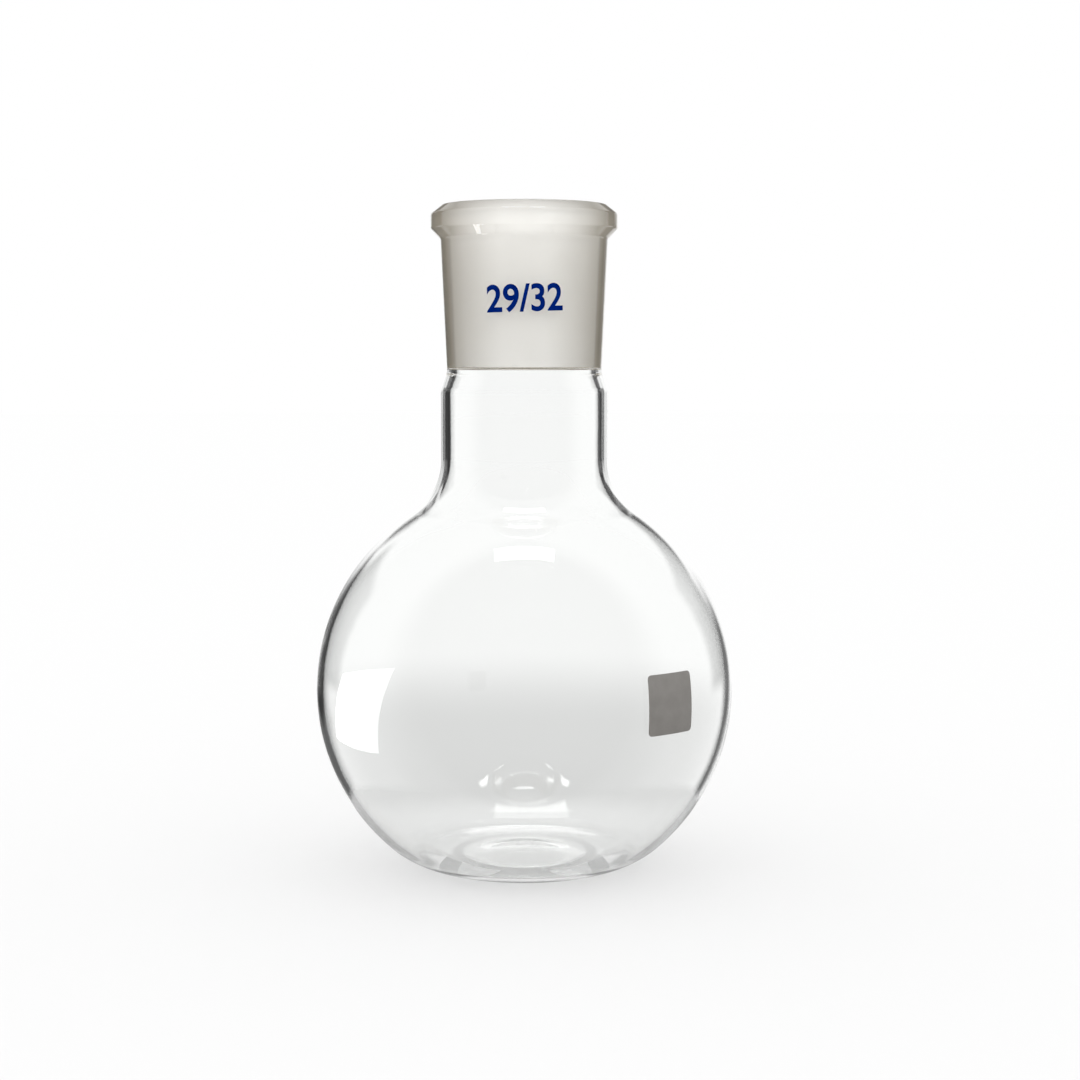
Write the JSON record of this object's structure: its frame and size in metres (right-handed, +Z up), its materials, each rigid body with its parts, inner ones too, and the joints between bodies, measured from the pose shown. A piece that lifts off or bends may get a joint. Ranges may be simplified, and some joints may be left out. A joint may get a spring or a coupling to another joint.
{
  "type": "flat bottom flask",
  "caption": "Clear glass flask with a round body on a flattened base, a short neck and a ground conical socket with a beaded mouth.",
  "frame": {"origin": "middle of the base, on the plane the flask stands on", "axes": "+Z up along the flask's axis of turning, with the printed side facing -Y"},
  "size_m": [0.085, 0.085, 0.1348],
  "materials": {
    "clear_glass": "clear and fire polished, with the inside of the socket ground to a fine matt",
    "field_enamel": "matt grey fired enamel"
  },
  "bodies": {
    "root": {"flask": "clear_glass", "marking_field": "field_enamel"}
  },
  "joints": []
}
